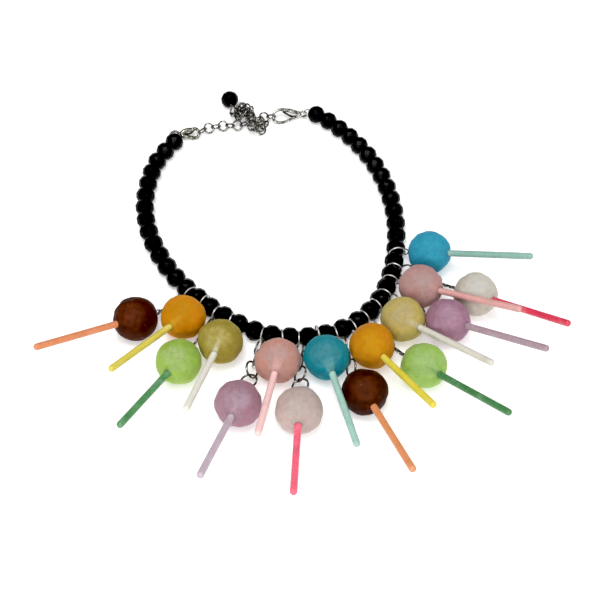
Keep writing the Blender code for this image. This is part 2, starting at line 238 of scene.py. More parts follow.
# The rows of flats from the belt to the end: the lean in degrees, the distance from the bead's middle,
# and the turn round the bead as a share of one flat. The bead rests on the belt's lowest flat, and the
# belt's other flats stand out further by the factor above.
FACET_ROWS = (
    (0.0, STRING_HEIGHT, 0.0),
    (25.0, 4.0 * MM, 0.5),
    (45.0, 4.0 * MM, 0.0),
    (64.0, 4.05 * MM, 0.5),
)
HOLE_INSET = 1.2 * MM
EDGE_SOFTNESS = 0.16 * MM

# How many beads each solid of the string holds.
RUNS = (5, 5, 6, 6, 6, 6, 5, 5)

black_glass, tree, shader = new_material("black_glass", roughness=0.12)
shader.inputs["Specular IOR Level"].default_value = 0.055
where = add_node(tree, "ShaderNodeTexCoord").outputs["Object"]
smudge = add_node(tree, "ShaderNodeTexNoise", {"Vector": where, "Scale": 420.0, "Detail": 4.0}).outputs[0]
dust = add_node(tree, "ShaderNodeTexNoise", {"Vector": where, "Scale": 3200.0, "Detail": 2.0}).outputs[0]
tint = mix_colour(tree, map_value(tree, smudge, 0.35, 0.7), linear("040404"), linear("09090b"))
tint = mix_colour(tree, map_value(tree, dust, 0.62, 0.8), tint, linear("18181c"))
tree.links.new(tint, shader.inputs["Base Color"])
tree.links.new(map_value(tree, smudge, 0.3, 0.75, 0.07, 0.3), shader.inputs["Roughness"])
ripple = add_node(tree, "ShaderNodeBump", {"Strength": 0.25, "Distance": 0.05 * MM, "Height": smudge})
tree.links.new(ripple.outputs[0], shader.inputs["Normal"])


def grind(shape, normal, reach):
    """Grinds a flat: cuts away all that lies beyond a plane at a distance from the middle."""
    cut = bmesh.ops.bisect_plane(
        shape,
        geom=[*shape.verts, *shape.edges, *shape.faces],
        plane_co=normal * reach,
        plane_no=normal,
        clear_outer=True,
    )
    rim = [found for found in cut["geom_cut"] if isinstance(found, bmesh.types.BMEdge)]
    if rim:
        bmesh.ops.contextual_create(shape, geom=rim)


def faceted_bead(rng):
    """A bead along X, with a flat below to rest on, its hole bored through and its edges softened."""
    shape = bmesh.new()
    bmesh.ops.create_cube(shape, size=4 * BEAD_RADIUS)
    for side in (1, -1):
        grind(shape, Vector((side, 0, 0)), BEAD_END)
        for tilt, reach, offset in FACET_ROWS:
            if side < 0 and tilt == 0.0:
                continue
            for i in range(FACET_SIDES):
                turn = math.tau * (i + offset) / FACET_SIDES - math.pi / 2
                lean = math.radians(tilt + (rng.uniform(-LEAN_SPREAD, LEAN_SPREAD) if tilt else 0.0))
                depth = reach * (rng.uniform(*GRIND_SPREAD) if tilt or i else 1.0)
                if i and not tilt:
                    depth *= BELT_SPREAD
                across = Vector((0, math.cos(turn), math.sin(turn))) * math.cos(lean)
                grind(shape, across + Vector((side * math.sin(lean), 0, 0)), depth)
    ends = [face for face in shape.faces if abs(face.normal.x) > END_FACING]
    for end in ends:
        bmesh.ops.inset_region(shape, faces=[end], thickness=HOLE_INSET)
    arrises = [edge for edge in shape.edges if not any(face in ends for face in edge.link_faces)]
    bores = [edge for end in ends for edge in end.edges]
    bmesh.ops.delete(shape, geom=ends, context="FACES_ONLY")
    bmesh.ops.bridge_loops(shape, edges=bores)
    bmesh.ops.bevel(shape, geom=arrises, offset=EDGE_SOFTNESS, segments=2, profile=0.6, affect="EDGES")
    return shape


bead_draw = random.Random(BEAD_SEED)
bead = 0
for run, count in enumerate(RUNS, 1):
    for _ in range(count):
        shape = faceted_bead(bead_draw)
        placed = frame_along(string.direction(bead * pitch), string.at(bead * pitch), 0.0)
        bmesh.ops.transform(shape, matrix=placed, verts=shape.verts)
        piece = make_piece(f"bead_{bead + 1:02d}", shape, black_glass, smooth_angle=30.0)
        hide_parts(f"bead_string_{run}")
        bead += 1

# The lollipop balls: cast from clouded, slightly translucent polyester resin in eight colours, two of
# each, left a little uneven by the mould, with specks, pits and the end of the stick just showing.
BALL_RADIUS = 9.0 * MM
BALL_HEIGHT = 8.75 * MM
BALL_SIDES = 96
BALL_BANDS = 64
STICK_RADIUS = 1.35 * MM
SOCKET_DEPTH = 5.0 * MM
SOCKET_RADIUS = STICK_RADIUS + 0.06 * MM
PIN_WIRE = 0.3 * MM
PIN_BORE = PIN_WIRE + 0.04 * MM
PIN_DEPTH = 2.2 * MM
BORE_CHAMFER = 0.1 * MM
SKIN_SHARE = 0.99

# The collar of resin round the stick: how high it stands, then in shares of that how far out its foot
# lies, and its lip as points (back from the crest, out from the socket).
COLLAR = 0.12 * MM
COLLAR_FOOT = 1.6
COLLAR_LIP = ((0.3, 0.0), (0.0, 0.3), (0.6, 0.8))

# The streak where the stick shows through: how far up the ball it reaches, where it starts, which way
# it climbs, and how much of the stick's own colour it keeps. The last is the side that every ball is
# painted paler on, a painted highlight of the light from above and in front.
STREAK_REACH = 46.0
STREAK_START = -8.0
UP_AND_FORWARD = Vector((0, -0.585, 0.811))
STICK_TINT = 0.6
PAINTED_HIGHLIGHT_SIDE = Vector((-0.05, -0.42, 0.9)).normalized()

# How uneven a ball is, in swellings, lumps and dents: how deep, how many go round it, and how far each
# ball's share of the noise lies from the last one's.
UNEVENNESS = (
    (0.5 * MM, 1.1, (3.7, 0.0, 0.0)),
    (0.28 * MM, 3.2, (0.0, 5.1, 0.0)),
    (0.05 * MM, 8.0, (0.0, 0.0, 2.9)),
)

# Colour, the gap between beads that its ring hangs in, where the ball lies on the plan in mm,
# which way the stick points and how far it rises, in degrees, how far its chain bows, in mm,
# and how far each ring of the chain leans over from lying flat, in degrees.
LOLLIPOPS = (
    ("brown", 14, -66.1, 2.2, -143.5, 20, -0.2, (92, 58)),
    ("orange", 15, -47.0, 3.1, -123.8, 18.5, 0.0, ()),
    ("green", 16, -47.4, -18.6, -114, 20, 0.0, (60, 75, 65)),
    ("olive", 17, -31.5, -9.2, -103.5, 19.5, 0.0, ()),
    ("mauve", 19, -23.4, -37.9, -105.5, 22, -0.2, (60, 75, -55, 15)),
    ("pink", 20, -8.5, -18.1, -99, 18.5, 0.0, ()),
    ("white", 21, -0.4, -40.9, -92.5, 19, 0.2, (65, 70, 50, 20)),
    ("blue", 22, 10.4, -16.7, -76.5, 8, 0.0, ()),
    ("brown", 23, 24.6, -32.6, -69.5, 15.5, 0.6, (60, 80, 65)),
    ("orange", 24, 28.2, -11.2, -61, 19, 0.0, ()),
    ("green", 25, 48.0, -20.6, -49, 21, -1.2, (75, 75, 70, -65)),
    ("olive", 26, 41.3, 1.9, -43.5, 15.5, 0.0, ()),
    ("mauve", 27, 59.3, 1.2, -36, 20, -1.6, (80, 75, 70)),
    ("pink", 28, 49.8, 18.8, -32, 18, 0.0, ()),
    ("white", 29, 71.7, 14.6, -41.5, 22, 0.0, (60, 75, 35, -55)),
    ("blue", 30, 54.6, 37.1, -21.5, 20.5, 0.0, ()),
)

# Each ball's colour where the resin is clouded and where it is clear, its stick's colour, how
# strongly the end of the stick shows through, and how much that streak widens or narrows as it climbs.
# The sticks of balls 11 to 16 are painted darker than those of the same colour on balls 3 to 8: painted
# shade on the sticks that point to the right.
CASTS = (
    ("602d16", "330b00", "d9875b", 0.04, -0.3),
    ("b58219", "cd851d", "dac955", 0.5, -0.3),
    ("9fb177", "91b34c", "52905a", 0.25, -0.5),
    ("aa9f60", "948430", "e9e6d9", 0.9, -0.5),
    ("a58f9a", "9c7584", "c6b3c1", 0.35, -0.2),
    ("b29591", "c18d80", "ffd1ce", 0.6, 0.7),
    ("b5aaa4", "b7a59f", "ff6d87", 0.0, 0.0),
    ("478892", "0a8090", "a2cbbe", 0.65, 1.2),
    ("572812", "2a0d03", "df905f", 0.05, 0.4),
    ("be8d1b", "c47f20", "e1d044", 0.1, -0.5),
    ("9ab575", "95b95d", "457f4b", 1.0, -0.6),
    ("afa278", "baa85d", "d3cec3", 0.8, -0.1),
    ("a88899", "9a7387", "a58d98", 0.1, 0.0),
    ("ac9390", "b78c88", "d9a29d", 0.9, 0.0),
    ("bfbeb8", "c5bdb0", "d63c56", 0.0, 0.0),
    ("3f99af", "3391b0", "89b3a6", 0.2, 0.0),
)


def clouded_resin():
    """Node group: clouds in clear resin, a painted highlight above, specks, the stick's glow, fine pits.
    """
    tree = bpy.data.node_groups.new("clouded_resin", "ShaderNodeTree")
    for name in ("Clouded", "Clear", "Stick"):
        tree.interface.new_socket(name, in_out="INPUT", socket_type="NodeSocketColor")
    tree.interface.new_socket("Colour", in_out="OUTPUT", socket_type="NodeSocketColor")
    tree.interface.new_socket("Roughness", in_out="OUTPUT", socket_type="NodeSocketFloat")
    tree.interface.new_socket("Height", in_out="OUTPUT", socket_type="NodeSocketFloat")
    given = add_node(tree, "NodeGroupInput")
    where = add_node(tree, "ShaderNodeTexCoord").outputs["Object"]
    coarse = {"Vector": where, "Scale": 150.0, "Detail": 5.0, "Distortion": 1.2}
    clouds = add_node(tree, "ShaderNodeTexNoise", coarse).outputs[0]
    fine = {"Vector": where, "Scale": 520.0, "Detail": 6.0, "Roughness": 0.65}
    wisps = add_node(tree, "ShaderNodeTexNoise", fine).outputs[0]
    outwards = add_node(tree, "ShaderNodeNewGeometry").outputs["Normal"]
    # The side of each ball that faces up and to the front is painted paler: a painted highlight, broken up
    # by the wisps.
    facing = add_node(tree, "ShaderNodeVectorMath", {0: outwards, 1: PAINTED_HIGHLIGHT_SIDE}, operation="DOT_PRODUCT")
    painted_highlight = map_value(tree, facing.outputs["Value"], 0.72, 0.97, 0.0, 0.75)
    thin = map_value(tree, wisps, 0.32, 0.6, 0.55, 1.15)
    patchy = add_node(tree, "ShaderNodeMath", {0: painted_highlight, 1: thin}, operation="MULTIPLY")
    drift = map_value(tree, clouds, 0.36, 0.66, 0.0, 0.38)
    share = add_node(tree, "ShaderNodeMath", {0: patchy.outputs[0], 1: drift}, operation="ADD")
    share.use_clamp = True
    cell = add_node(tree, "ShaderNodeTexVoronoi", {"Vector": where, "Scale": 1000.0})
    rare = add_node(tree, "ShaderNodeSeparateColor", {0: cell.outputs["Color"]})
    dots = map_value(tree, cell.outputs["Distance"], 0.3, 0.1)
    dark = map_value(tree, rare.outputs[0], 0.8, 0.84)
    specks = add_node(tree, "ShaderNodeMath", {0: dots, 1: dark}, operation="MULTIPLY")
    pale = map_value(tree, rare.outputs[1], 0.94, 0.96, 0.0, 0.12)
    bubbles = add_node(tree, "ShaderNodeMath", {0: dots, 1: pale}, operation="MULTIPLY")
    glow = add_node(tree, "ShaderNodeAttribute", attribute_name="stick_glow").outputs["Fac"]
    colour = mix_colour(tree, share.outputs[0], given.outputs["Clear"], given.outputs["Clouded"])
    depth = map_value(tree, wisps, 0.3, 0.7, 0.9, 1.1)
    deeper = add_node(tree, "ShaderNodeVectorMath", {0: colour, "Scale": depth}, operation="SCALE")
    cloudy = map_value(tree, wisps, 0.25, 0.6, 0.6, 1.0)
    streaked = add_node(tree, "ShaderNodeMath", {0: glow, 1: cloudy}, operation="MULTIPLY")
    colour = mix_colour(tree, streaked.outputs[0], deeper.outputs[0], given.outputs["Stick"])
    shaded = mix_colour(tree, 0.6, colour, given.outputs["Clear"], "MULTIPLY")
    colour = mix_colour(tree, specks.outputs[0], colour, shaded)
    colour = mix_colour(tree, bubbles.outputs[0], colour, (0.8, 0.78, 0.74, 1.0))
    height = add_node(tree, "ShaderNodeMath", {0: wisps, 1: specks.outputs[0]}, operation="SUBTRACT")
    result = add_node(tree, "NodeGroupOutput", {"Colour": colour, "Height": height.outputs[0]})
    tree.links.new(map_value(tree, wisps, 0.3, 0.7, 0.42, 0.6), result.inputs["Roughness"])
    return tree


resin_group = clouded_resin()


def cast_resin(name, clouded, clear, stick_colour_with_shade):
    """Clouded resin: light goes a few millimetres into it, and its skin is satin."""
    made, tree, shader = new_material(name, roughness=0.42)
    look = add_node(tree, "ShaderNodeGroup", {}, node_tree=resin_group)
    look.inputs["Clouded"].default_value = linear(clouded)
    look.inputs["Clear"].default_value = linear(clear)
    look.inputs["Stick"].default_value = [
        STICK_TINT * own + (1 - STICK_TINT) * around
        for own, around in zip(linear(stick_colour_with_shade), linear(clouded))
    ]
    tree.links.new(look.outputs["Colour"], shader.inputs["Base Color"])
    tree.links.new(look.outputs["Roughness"], shader.inputs["Roughness"])
    pits = {"Strength": 0.35, "Distance": 0.06 * MM, "Height": look.outputs["Height"]}
    skin = add_node(tree, "ShaderNodeBump", pits)
    tree.links.new(skin.outputs[0], shader.inputs["Normal"])
    shader.inputs["Specular IOR Level"].default_value = 0.05
    shader.inputs["Subsurface Weight"].default_value = 1.0
    shader.inputs["Subsurface Scale"].default_value = 4.5 * MM
    shader.inputs["Subsurface Radius"].default_value = (1.0, 0.85, 0.75)
    return made


def turn_profile(profile, sides):
    """A closed body turned about the X axis from (along, radius) points that start and end on it."""
    shape = bmesh.new()
    first = shape.verts.new((profile[0][0], 0, 0))
    last = shape.verts.new((profile[-1][0], 0, 0))
    hoops = []
    for along, radius in profile[1:-1]:
        turns = [math.tau * k / sides for k in range(sides)]
        hoops.append([shape.verts.new((along, radius * math.cos(a), radius * math.sin(a))) for a in turns])
    for here, there in zip(hoops, hoops[1:]):
        for k in range(sides):
            shape.faces.new((here[k - 1], here[k], there[k], there[k - 1]))
    for k in range(sides):
        shape.faces.new((first, hoops[0][k], hoops[0][k - 1]))
        shape.faces.new((last, hoops[-1][k - 1], hoops[-1][k]))
    return shape


def cast_ball(placed, seed):
    """A ball with a socket for the stick, where the resin crept up it a little, and a bore for the pin."""
    socket_end = BALL_RADIUS - SOCKET_DEPTH
    profile = [(socket_end, 0.0), (socket_end, SOCKET_RADIUS)]
    foot = math.asin((SOCKET_RADIUS + COLLAR * COLLAR_FOOT) / BALL_RADIUS)
    crest = BALL_RADIUS * math.cos(foot) + COLLAR
    profile += [(crest - COLLAR * back, SOCKET_RADIUS + COLLAR * out) for back, out in COLLAR_LIP]
    last = math.pi - math.asin((PIN_BORE + BORE_CHAMFER) / BALL_RADIUS)
    for i in range(BALL_BANDS + 1):
        turn = foot + (last - foot) * i / BALL_BANDS
        profile.append((BALL_RADIUS * math.cos(turn), BALL_RADIUS * math.sin(turn)))
    profile += [(BORE_CHAMFER - BALL_RADIUS, PIN_BORE), (PIN_DEPTH - BALL_RADIUS, PIN_BORE)]
    profile.append((PIN_DEPTH - BALL_RADIUS, 0.0))
    shape = turn_profile(profile, BALL_SIDES)
    for vert in shape.verts:
        way = vert.co.normalized()
        if vert.co.length > SKIN_SHARE * BALL_RADIUS:
            for deep, often, apart in UNEVENNESS:
                vert.co += way * (deep * noise.noise(way * often + Vector(apart) * seed))
    bmesh.ops.transform(shape, matrix=placed, verts=shape.verts)
    for vert in shape.verts:
        vert.co.z = max(vert.co.z, 0.0)
    return shape


def show_stick(piece, placed, strength, widening):
    """Marks where the end of the stick glows through the resin: a streak from its socket up the ball."""
    ahead = (placed.to_3x3() @ Vector((1, 0, 0))).normalized()
    side = UP_AND_FORWARD.cross(ahead).normalized()
    over = ahead.cross(side)
    glow = piece.data.attributes.new("stick_glow", "FLOAT", "POINT")
    for vert, mark in zip(piece.data.vertices, glow.data):
        way = (vert.co - placed.translation).normalized()
        climb = math.degrees(math.atan2(way.dot(over), way.dot(ahead)))
        left = min(1.0, max(0.0, 1.0 - max(climb, 0.0) / STREAK_REACH))
        along = left if climb > STREAK_START else 0.0
        width = abs(way.dot(side)) * BALL_RADIUS / (STICK_RADIUS * (1.0 + widening * (1.0 - along)))
        mark.value = strength * along**0.5 * max(0.0, 1.0 - width**4)


places = []
for number, (colour, _, x, y, heading, rise, *_) in enumerate(LOLLIPOPS, 1):
    turn = Matrix.Rotation(math.radians(heading), 4, "Z")
    tip_up = Matrix.Rotation(math.radians(-rise), 4, "Y")
    placed = Matrix.Translation(on_plan(x, y, BALL_HEIGHT)) @ turn @ tip_up
    places.append(placed)
    clouded, clear, stick_colour_with_shade, strength, widening = CASTS[number - 1]
    resin = cast_resin(f"resin_{number:02d}_{colour}", clouded, clear, stick_colour_with_shade)
    piece = make_piece(f"resin_ball_{number:02d}", cast_ball(placed, number), resin)
    show_stick(piece, placed, strength, widening)
    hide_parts(f"ball_{number:02d}_{colour}")

# The sticks: moulded plastic rods with rounded tips, mottled where the colour was not quite mixed. Each
# is cast into its ball, and its surface wavers by a hundredth of a millimetre or so.
STICK_REACH = 44.8 * MM
STICK_SIDES = 28
STICK_STEPS = 24
TIP_STEPS = 8
TIP_BLUNTNESS = 0.8
SOCKET_PLAY = 0.05 * MM
WANDER = 0.02 * MM
WANDER_LENGTH = 4 * MM
WANDER_APART = 2.3
MOTTLE = 0.12


def mottled_rod():
    """Node group: pale and dark blotches, from uneven mixing, and a fine grain."""
    tree = bpy.data.node_groups.new("mottled_rod", "ShaderNodeTree")
    for name in ("Colour", "Light", "Dark"):
        tree.interface.new_socket(name, in_out="INPUT", socket_type="NodeSocketColor")
    tree.interface.new_socket("Colour", in_out="OUTPUT", socket_type="NodeSocketColor")
    tree.interface.new_socket("Roughness", in_out="OUTPUT", socket_type="NodeSocketFloat")
    tree.interface.new_socket("Height", in_out="OUTPUT", socket_type="NodeSocketFloat")
    given = add_node(tree, "NodeGroupInput")
    where = add_node(tree, "ShaderNodeTexCoord").outputs["Object"]
    coarse = {"Vector": where, "Scale": 240.0, "Detail": 3.0}
    blotches = add_node(tree, "ShaderNodeTexNoise", coarse).outputs[0]
    fine = {"Vector": where, "Scale": 1500.0, "Detail": 4.0}
    grain = add_node(tree, "ShaderNodeTexNoise", fine).outputs[0]
    dark = map_value(tree, blotches, 0.52, 0.68, 0.0, 0.9)
    pale = map_value(tree, blotches, 0.46, 0.3, 0.0, 0.8)
    flecks = map_value(tree, grain, 0.52, 0.75, 0.0, 0.5)
    colour = mix_colour(tree, dark, given.outputs["Colour"], given.outputs["Dark"])
    colour = mix_colour(tree, pale, colour, given.outputs["Light"])
    colour = mix_colour(tree, flecks, colour, given.outputs["Light"])
    result = add_node(tree, "NodeGroupOutput", {"Colour": colour, "Height": grain})
    tree.links.new(map_value(tree, grain, 0.3, 0.7, 0.24, 0.36), result.inputs["Roughness"])
    return tree


rod_group = mottled_rod()


def shift(code, share):
    """A colour moved towards white by a positive share, or towards black by a negative one."""
    goal = 1.0 if share > 0 else 0.0
    return (*[part + (goal - part) * abs(share) for part in linear(code)[:3]], 1.0)


def rod_plastic(name, code):
    """Moulded plastic, a little mottled."""
    made, tree, shader = new_material(name, roughness=0.35)
    shader.inputs["Specular IOR Level"].default_value = 0.4
    look = add_node(tree, "ShaderNodeGroup", {}, node_tree=rod_group)
    look.inputs["Colour"].default_value = linear(code)
    look.inputs["Light"].default_value = shift(code, MOTTLE)
    look.inputs["Dark"].default_value = shift(code, -MOTTLE)
    tree.links.new(look.outputs["Colour"], shader.inputs["Base Color"])
    tree.links.new(look.outputs["Roughness"], shader.inputs["Roughness"])
    relief = {"Strength": 0.2, "Distance": 0.03 * MM, "Height": look.outputs["Height"]}
    grain = add_node(tree, "ShaderNodeBump", relief)
    tree.links.new(grain.outputs[0], shader.inputs["Normal"])
    return made


for number, (row, placed, cast) in enumerate(zip(LOLLIPOPS, places, CASTS), 1):
    colour, stick_colour_with_shade = row[0], cast[2]
    inner = BALL_RADIUS - SOCKET_DEPTH + SOCKET_PLAY
    straight = STICK_REACH - STICK_RADIUS
    profile = [(inner, 0.0), (inner, STICK_RADIUS)]
    for i in range(1, STICK_STEPS + 1):
        along = inner + (straight - inner) * i / STICK_STEPS
        wander = noise.noise(Vector((along / WANDER_LENGTH, number * WANDER_APART, 0)))
        profile.append((along, STICK_RADIUS + WANDER * wander))
    for i in range(1, TIP_STEPS):
        turn = math.pi / 2 * i / TIP_STEPS
        around = STICK_RADIUS * math.cos(turn) ** TIP_BLUNTNESS
        profile.append((straight + STICK_RADIUS * math.sin(turn), around))
    profile.append((STICK_REACH, 0.0))
    shape = turn_profile(profile, STICK_SIDES)
    bmesh.ops.transform(shape, matrix=placed, verts=shape.verts)
    # The sticks of balls 11 to 16 get darker colours from the table: painted shade.
    rod = rod_plastic(f"plastic_{number:02d}_{colour}", stick_colour_with_shade)
    piece = make_piece(f"plastic_stick_{number:02d}", shape, rod)
    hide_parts(f"stick_{number:02d}_{colour}")

# The eye pins: a loop turned from soft plated wire, whose shank is screwed and glued into the resin at
# the other end from the stick. The loop is not quite closed.
EYE_RADIUS = 1.1 * MM
EYE_GAP = 14.0
EYE_STANDOFF = 1.65 * MM
EYE_OUT = -(BALL_RADIUS + EYE_STANDOFF)
EYE_STEPS = 21
SHANK_PLAY = 0.2 * MM

# The eye's roll about its shank where it takes the ring round the string, and where it takes a chain.
EYE_ROLLS = (42.0, 104.0)

# Where the shank ends and how it bends into the eye, in shares of the eye's radius.
SHANK_END = 1.9
SHANK_BEND = (1.35, 0.12)


def worn_plate():
    """Node group: silver-coloured plating, dull and dark in patches, with fine scratches."""
    tree = bpy.data.node_groups.new("worn_plate", "ShaderNodeTree")
    for name in ("Bright", "Dull"):
        tree.interface.new_socket(name, in_out="INPUT", socket_type="NodeSocketColor")
    tree.interface.new_socket("Colour", in_out="OUTPUT", socket_type="NodeSocketColor")
    tree.interface.new_socket("Roughness", in_out="OUTPUT", socket_type="NodeSocketFloat")
    tree.interface.new_socket("Height", in_out="OUTPUT", socket_type="NodeSocketFloat")
    given = add_node(tree, "NodeGroupInput")
    where = add_node(tree, "ShaderNodeTexCoord").outputs["Object"]
    patches = {"Vector": where, "Scale": 700.0, "Detail": 4.0}
    tarnish = add_node(tree, "ShaderNodeTexNoise", patches).outputs[0]
    fine = {"Vector": where, "Scale": 4000.0, "Detail": 2.0, "Distortion": 2.0}
    scratch = add_node(tree, "ShaderNodeTexNoise", fine).outputs[0]
    worn = map_value(tree, tarnish, 0.42, 0.62, 0.0, 0.95)
    colour = mix_colour(tree, worn, given.outputs["Bright"], given.outputs["Dull"])
    result = add_node(tree, "NodeGroupOutput", {"Colour": colour, "Height": scratch})
    tree.links.new(map_value(tree, tarnish, 0.4, 0.75, 0.16, 0.38), result.inputs["Roughness"])
    return tree


plate_group = worn_plate()


def plated(name, bright, dull, satin=1.0):
    """Plated metal of two tones. The satin factor scales how rough it is."""
    made, tree, shader = new_material(name, roughness=0.2, metallic=1.0)
    look = add_node(tree, "ShaderNodeGroup", {}, node_tree=plate_group)
    look.inputs["Bright"].default_value = linear(bright)
    look.inputs["Dull"].default_value = linear(dull)
    tree.links.new(look.outputs["Colour"], shader.inputs["Base Color"])
    scaled = {0: look.outputs["Roughness"], 1: satin}
    rough = add_node(tree, "ShaderNodeMath", scaled, operation="MULTIPLY")
    tree.links.new(rough.outputs[0], shader.inputs["Roughness"])
    scratches = {"Strength": 0.15, "Distance": 0.02 * MM, "Height": look.outputs["Height"]}
    scratched = add_node(tree, "ShaderNodeBump", scratches)
    tree.links.new(scratched.outputs[0], shader.inputs["Normal"])
    return made


pin_plate = plated("pin_plate", "9c9a94", "2b2a27")
for number, ((*_, leans), placed) in enumerate(zip(LOLLIPOPS, places), 1):
    axis = (placed.to_3x3() @ Vector((1, 0, 0))).normalized()
    eye = frame_along(axis, placed.translation + axis * EYE_OUT, EYE_ROLLS[1 if leans else 0])
    line = [Vector((PIN_DEPTH - SHANK_PLAY - BALL_RADIUS - EYE_OUT, 0, 0))]
    line.append(Vector((SHANK_END * EYE_RADIUS, 0, 0)))
    line.append(Vector((*SHANK_BEND, 0)) * EYE_RADIUS)
    for i in range(EYE_STEPS + 1):
        turn = math.radians(EYE_GAP + (360 - 2 * EYE_GAP) * i / EYE_STEPS)
        line.append(Vector((EYE_RADIUS * math.cos(turn), EYE_RADIUS * math.sin(turn), 0)))
    bent = bmesh.new()
    bend_wire(bent, [eye @ point for point in line], [PIN_WIRE] * len(line), sides=10)
    piece = make_piece(f"eye_pin_{number:02d}", bent, pin_plate)

# The jump rings: rings of round plated wire, sawn through once and pinched shut. The first of each
# hanger is of fine wire and lies round the string between two beads; its plating is painted near white,
# a painted highlight of the light from above. The others, of stouter and darker wire, reach from it to
# the eye pin.
FINE_WIRE = 0.31 * MM
STOUT_WIRE = 0.43 * MM
SAW_CUT = 1.6
RING_STEPS = 40
RING_SEED = 3

# The solids' rings, which these follow: a ring's usual, least and greatest radius, its wire's radius, how
# far two rings bite into each other, how far behind the string the first one reaches, and the sag.
RING_RADIUS = 3.15 * MM
RING_LEAST = 2.95 * MM
RING_MOST = 3.5 * MM
RING_WIRE = 0.42 * MM
BITE = 0.3 * MM
GROOVE = 2.2 * MM
SAG = 0.5 * MM
EYE_JOINT = EYE_OUT - (EYE_RADIUS - PIN_WIRE)

# Between which turns of a ring, in degrees, its saw cut comes to lie.
CUT_ROUND_STRING = (-150, -100)
CUT_BELOW = (60, 120)

# The ring round the string is plated near white: a painted highlight.
ring_plate_painted_highlight = plated("ring_plate_painted_highlight", "faf9f6", "cfcdc8", satin=2.0)
link_plate = plated("link_plate", "8e8b85", "1c1b18")


def sawn_ring(shape, placed, radius, wire, cut_at, broad=1.0):
    """Adds a ring of round wire with a saw cut through it, drawn broad across by a factor."""
    open_by = SAW_CUT + math.degrees(wire / radius)
    points = []
    for i in range(RING_STEPS + 1):
        turn = math.radians(cut_at + open_by + (360 - 2 * open_by) * i / RING_STEPS)
        points.append(placed @ Vector((radius * math.cos(turn), broad * radius * math.sin(turn), 0)))
    bend_wire(shape, points, [wire] * len(points))


def hang(anchor, outwards, ball, bow):
    """Where a hanger's ring lies round the string, its radius, and the joints from it to the eye pin."""
    axis = (ball.to_3x3() @ Vector((1, 0, 0))).normalized()
    joint = ball.translation + axis * EYE_JOINT
    reach = joint - anchor
    rings = round((reach.length + GROOVE - 2 * RING_RADIUS) / (2 * (RING_RADIUS - RING_WIRE) + BITE))
    radius = reach.length + GROOVE + RING_WIRE - BITE / 2 + rings * (2 * RING_WIRE - BITE)
    radius = min(max(radius / (2 + 2 * rings), RING_LEAST), RING_MOST)
    first_length = 2 * radius - RING_WIRE + BITE / 2
    length = first_length + rings * (2 * (radius - RING_WIRE) + BITE)
    ahead = reach.dot(outwards)
    inner = anchor - outwards * (math.sqrt(ahead**2 - reach.length**2 + length**2) - ahead)
    leading = (joint - inner).normalized()
    if rings:
        leading = (leading + outwards).normalized()
    first = inner + leading * first_length
    side = Vector((0, 0, 1)).cross(joint - first).normalized()
    joints = []
    for i in range(rings + 1):
        share = i / max(rings, 1)
        bend = 4 * share * (1 - share)
        joints.append(first.lerp(joint, share) + bend * (side * bow + Vector((0, 0, -SAG))))
    return frame_along(leading, inner + leading * radius, 90.0), radius, joints


ring_draw = random.Random(RING_SEED)
for number, ((_, gap, *_, bow, leans), ball) in enumerate(zip(LOLLIPOPS, places), 1):
    along = (gap - 0.5) * pitch
    outwards = string.direction(along).cross(Vector((0, 0, 1)))
    placed, radius, joints = hang(string.at(along), outwards, ball, bow * MM)
    inner = radius - RING_WIRE + BITE / 2
    round_string = bmesh.new()
    sawn_ring(round_string, placed, inner + FINE_WIRE, FINE_WIRE, ring_draw.uniform(*CUT_ROUND_STRING))
    piece = make_piece(f"jump_ring_{number:02d}", round_string, ring_plate_painted_highlight)
    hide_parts(f"hanger_{number:02d}")
    if not leans:
        continue
    linked = bmesh.new()
    for start, end, lean in zip(joints, joints[1:], leans):
        link = frame_along(end - start, (start + end) / 2, lean)
        sawn_ring(linked, link, inner + STOUT_WIRE, STOUT_WIRE, ring_draw.uniform(*CUT_BELOW))
    piece = make_piece(f"hanging_rings_{number:02d}", linked, link_plate)
    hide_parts(f"hanger_{number:02d}")

# The extender: cable chain of small round links of plated steel, each turned about a quarter from the
# last. One length joins the two clasps, and the tail shares a link with it and lies in a tangle.
LINK_WIRE = 0.4 * MM
LINK_RADIUS = 2.05 * MM
LINK_BROAD = 1.08
LINK_SEAM = 90.0
LINK_ROLLS = (-62.0, 36.0)
CHAIN_RUN = (
    (-47.9, 117.6, 2.4), (-43.0, 120.6, 2.5), (-36.0, 121.9, 2.5), (-29.2, 122.2, 2.5),
    (-23.5, 124.6, 2.6), (-18.2, 127.4, 2.8), (-12.2, 128.2, 2.8),
)
CHAIN_TAIL = (
    (-18.2, 127.4, 2.8), (-16.6, 122.0, 2.5), (-19.6, 118.0, 2.5), (-23.0, 119.0, 3.4),
    (-24.0, 123.4, 6.2), (-23.2, 129.6, 2.8), (-24.8, 134.2, 2.5), (-28.6, 135.0, 2.5),
    (-30.6, 131.4, 2.6), (-27.2, 128.2, 5.6), (-29.0, 125.6, 5.4), (-31.8, 128.8, 2.8),
    (-32.9, 133.6, 3.2),
)
CHAIN_KNOT = (
    (-17.2, 118.4, 4.3), (-20.4, 119.6, 4.8), (-22.4, 122.6, 5.2), (-23.8, 126.4, 6.0),
    (-24.4, 129.8, 5.8), (-27.0, 131.6, 5.2), (-29.8, 130.0, 4.8), (-29.6, 126.4, 5.4),
    (-26.8, 125.0, 6.4), (-25.2, 127.6, 6.8),
)
CHAIN_FOLD = (
    (-30.6, 123.8, 4.0), (-28.6, 127.4, 4.4), (-30.8, 131.6, 4.2), (-27.2, 133.6, 4.0),
    (-24.8, 131.4, 4.0), (-26.4, 127.4, 4.2), (-24.0, 124.2, 4.0), (-21.0, 122.4, 4.0),
    (-18.4, 120.2, 3.8),
)

LENGTHS = {
    "chain_run": CHAIN_RUN,
    "chain_tail": CHAIN_TAIL,
    "chain_knot": CHAIN_KNOT,
    "chain_fold": CHAIN_FOLD,
}

